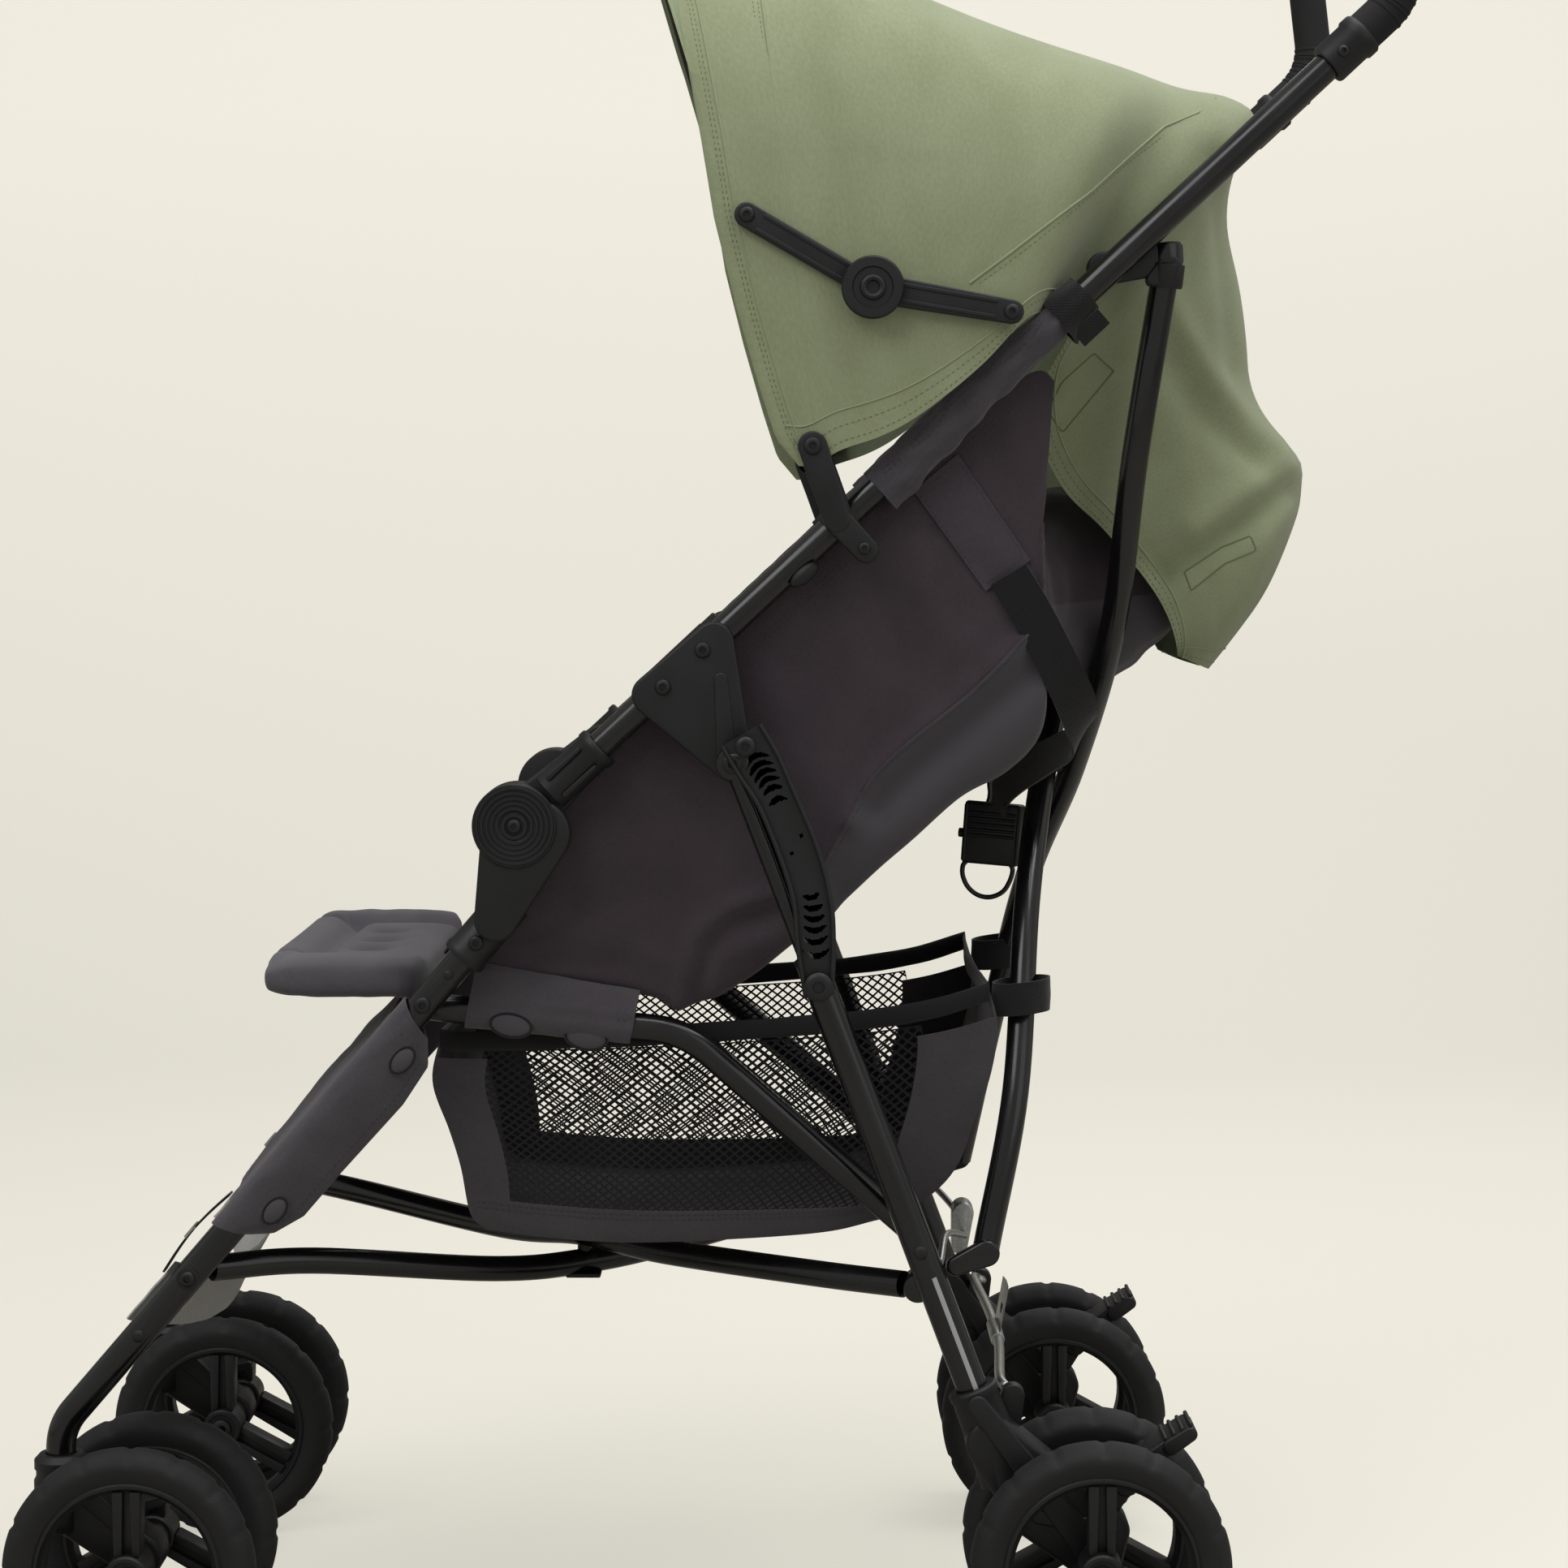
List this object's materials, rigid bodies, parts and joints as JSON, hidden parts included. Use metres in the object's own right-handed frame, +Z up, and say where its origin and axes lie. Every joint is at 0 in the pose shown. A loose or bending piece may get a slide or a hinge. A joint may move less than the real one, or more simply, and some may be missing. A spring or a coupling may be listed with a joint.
{
  "type": "pushchair",
  "caption": "Folding umbrella-style pushchair with twin swivel and fixed wheels, sling seat, extendable canopy, leg rest and under-seat basket.",
  "frame": {"origin": "centre of the bounding box at floor level, under the middle of the pushchair", "axes": "+Z up, -Y the way the pushchair faces, +X its left side"},
  "size_m": [0.452, 0.8363, 1.0826],
  "materials": {
    "black_paint": "gloss",
    "black_plastic": "matt",
    "grip_foam": "matt foam",
    "tyre_foam": "matt foam",
    "zinc_plated_steel": "satin",
    "canopy_cloth": "woven",
    "seat_cloth": "woven",
    "pad_cloth": "woven",
    "basket_cloth": "mesh and woven"
  },
  "bodies": {
    "push_frame": {"push_tube_left": "black_paint", "push_tube_right": "black_paint", "grip_left": "grip_foam", "grip_right": "grip_foam", "fold_joint_upper_left": "black_plastic", "fold_joint_upper_right": "black_plastic", "side_bracket_left": "black_plastic", "side_bracket_right": "black_plastic", "canopy_clip_left": "black_plastic", "canopy_clip_right": "black_plastic", "canopy_rear_bow": "black_plastic", "canopy_cloth": "canopy_cloth", "seat_base": "seat_cloth"},
    "seat_back": {"seat_back": "seat_cloth"},
    "canopy_bow": {"canopy_front_bow": "black_plastic"},
    "front_stays": {"stay_front_left": "black_plastic", "stay_front_right": "black_plastic"},
    "rear_stays": {"stay_rear_left": "black_plastic", "stay_rear_right": "black_plastic"},
    "front_legs": {"front_leg_left": "black_paint", "front_leg_right": "black_paint", "fold_joint_lower_left": "black_plastic", "fold_joint_lower_right": "black_plastic", "calf_panel": "seat_cloth"},
    "legrest": {"legrest_pad": "pad_cloth"},
    "link_rods": {"link_rod_left": "black_paint", "link_rod_right": "black_paint", "carry_handle": "black_plastic"},
    "rear_legs": {"rear_leg_left": "black_paint", "rear_leg_right": "black_paint", "rear_axle_housing_left": "black_plastic", "rear_axle_housing_right": "black_plastic", "basket": "basket_cloth"},
    "seat_tubes": {"seat_tube_left": "black_paint", "seat_tube_right": "black_paint"},
    "floor_brace": {"floor_brace_left": "black_paint", "floor_brace_right": "black_paint"},
    "rear_brace": {"rear_brace_left": "black_paint", "rear_brace_right": "black_paint"},
    "latch_bar": {"latch_bar": "zinc_plated_steel"},
    "caster_left": {"caster_fork_left": "black_plastic"},
    "brake_pedal_left": {"brake_pedal_left": "black_plastic"},
    "caster_right": {"caster_fork_right": "black_plastic"},
    "brake_pedal_right": {"brake_pedal_right": "black_plastic"},
    "wheel_front_left_outer": {"tyre_front_left_outer": "tyre_foam", "rim_front_left_outer": "black_plastic"},
    "wheel_front_left_inner": {"tyre_front_left_inner": "tyre_foam", "rim_front_left_inner": "black_plastic"},
    "wheel_front_right_outer": {"tyre_front_right_outer": "tyre_foam", "rim_front_right_outer": "black_plastic"},
    "wheel_front_right_inner": {"tyre_front_right_inner": "tyre_foam", "rim_front_right_inner": "black_plastic"},
    "wheel_rear_left_outer": {"tyre_rear_left_outer": "tyre_foam", "rim_rear_left_outer": "black_plastic"},
    "wheel_rear_left_inner": {"tyre_rear_left_inner": "tyre_foam", "rim_rear_left_inner": "black_plastic"},
    "wheel_rear_right_outer": {"tyre_rear_right_outer": "tyre_foam", "rim_rear_right_outer": "black_plastic"},
    "wheel_rear_right_inner": {"tyre_rear_right_inner": "tyre_foam", "rim_rear_right_inner": "black_plastic"}
  },
  "joints": [
    {"name": "fold", "type": "hinge", "parent": "push_frame", "child": "front_legs", "pos_m": [0, -0.11505, 0.516], "axis": [1, 0, 0], "range_deg": [-140, 0], "deforming": ["seat_base", "seat_back", "basket", "calf_panel", "legrest_pad"]},
    {"name": "link_swing", "type": "hinge", "parent": "push_frame", "child": "link_rods", "pos_m": [0, 0.01395, 0.5535], "axis": [1, 0, 0], "range_deg": [0, 13.51]},
    {"name": "rear_leg_swing", "type": "hinge", "parent": "link_rods", "child": "rear_legs", "pos_m": [0, 0.06425, 0.4229], "axis": [1, 0, 0], "range_deg": [-81.5, 0]},
    {"name": "seat_tube_swing", "type": "hinge", "parent": "rear_legs", "child": "seat_tubes", "pos_m": [0, 0.12455, 0.2648], "axis": [1, 0, 0], "range_deg": [0, 24.5]},
    {"name": "floor_brace_swing", "type": "hinge", "parent": "rear_legs", "child": "floor_brace", "pos_m": [0, 0.12455, 0.2348], "axis": [1, 0, 0], "range_deg": [-13, 0]},
    {"name": "rear_brace_swing", "type": "hinge", "parent": "push_frame", "child": "rear_brace", "pos_m": [0, 0.23275, 0.8442], "axis": [1, 0, 0], "range_deg": [-18.1, 0]},
    {"name": "latch_lift", "type": "hinge", "parent": "rear_legs", "child": "latch_bar", "pos_m": [0, 0.18195, 0.17], "axis": [1, 0, 0], "range_deg": [0, 40]},
    {"name": "recline", "type": "hinge", "parent": "push_frame", "child": "seat_back", "pos_m": [0, -0.01105, 0.412], "axis": [1, 0, 0], "range_deg": [0, 14]},
    {"name": "canopy_fold", "type": "hinge", "parent": "push_frame", "child": "canopy_bow", "pos_m": [0, 0.06065, 0.7388], "axis": [1, 0, 0], "range_deg": [-52, 0], "deforming": ["canopy_cloth"]},
    {"name": "stay_front_swing", "type": "hinge", "parent": "canopy_bow", "child": "front_stays", "pos_m": [0, 0.02235, 0.8723], "axis": [1, 0, 0], "range_deg": [-36.5, 0.5]},
    {"name": "stay_rear_swing", "type": "hinge", "parent": "push_frame", "child": "rear_stays", "pos_m": [0, 0.17615, 0.8161], "axis": [1, 0, 0], "range_deg": [-0.5, 38]},
    {"name": "legrest_tilt", "type": "hinge", "parent": "front_legs", "child": "legrest", "pos_m": [0, -0.17035, 0.4085], "axis": [1, 0, 0], "range_deg": [0, 35]},
    {"name": "caster_swivel_left", "type": "hinge", "parent": "front_legs", "child": "caster_left", "pos_m": [0.165, -0.39155, 0.075], "axis": [0, 0, 1], "continuous": true},
    {"name": "brake_press_left", "type": "hinge", "parent": "rear_legs", "child": "brake_pedal_left", "pos_m": [0.171, 0.24795, 0.122], "axis": [1, 0, 0], "range_deg": [-18, 0]},
    {"name": "caster_swivel_right", "type": "hinge", "parent": "front_legs", "child": "caster_right", "pos_m": [-0.165, -0.39155, 0.075], "axis": [0, 0, 1], "continuous": true},
    {"name": "brake_press_right", "type": "hinge", "parent": "rear_legs", "child": "brake_pedal_right", "pos_m": [-0.171, 0.24795, 0.122], "axis": [1, 0, 0], "range_deg": [-18, 0]},
    {"name": "spin_front_left_outer", "type": "hinge", "parent": "caster_left", "child": "wheel_front_left_outer", "pos_m": [0.206, -0.34315, 0.075], "axis": [1, 0, 0], "continuous": true},
    {"name": "spin_front_left_inner", "type": "hinge", "parent": "caster_left", "child": "wheel_front_left_inner", "pos_m": [0.124, -0.34315, 0.075], "axis": [1, 0, 0], "continuous": true},
    {"name": "spin_front_right_outer", "type": "hinge", "parent": "caster_right", "child": "wheel_front_right_outer", "pos_m": [-0.206, -0.34315, 0.075], "axis": [1, 0, 0], "continuous": true},
    {"name": "spin_front_right_inner", "type": "hinge", "parent": "caster_right", "child": "wheel_front_right_inner", "pos_m": [-0.124, -0.34315, 0.075], "axis": [1, 0, 0], "continuous": true},
    {"name": "spin_rear_left_outer", "type": "hinge", "parent": "rear_legs", "child": "wheel_rear_left_outer", "pos_m": [0.21, 0.23105, 0.0774], "axis": [1, 0, 0], "continuous": true},
    {"name": "spin_rear_left_inner", "type": "hinge", "parent": "rear_legs", "child": "wheel_rear_left_inner", "pos_m": [0.132, 0.23105, 0.0774], "axis": [1, 0, 0], "continuous": true},
    {"name": "spin_rear_right_outer", "type": "hinge", "parent": "rear_legs", "child": "wheel_rear_right_outer", "pos_m": [-0.21, 0.23105, 0.0774], "axis": [1, 0, 0], "continuous": true},
    {"name": "spin_rear_right_inner", "type": "hinge", "parent": "rear_legs", "child": "wheel_rear_right_inner", "pos_m": [-0.132, 0.23105, 0.0774], "axis": [1, 0, 0], "continuous": true}
  ],
  "couplings": [
    {"joint": "link_swing", "follows": "fold", "ratio": -0.0929},
    {"joint": "rear_leg_swing", "follows": "fold", "ratio": 0.5786},
    {"joint": "seat_tube_swing", "follows": "fold", "ratio": -0.1714},
    {"joint": "floor_brace_swing", "follows": "fold", "ratio": 0.0893},
    {"joint": "rear_brace_swing", "follows": "fold", "ratio": 0.1257},
    {"joint": "stay_front_swing", "follows": "canopy_fold", "ratio": 0.684},
    {"joint": "stay_rear_swing", "follows": "canopy_fold", "ratio": -0.687}
  ]
}
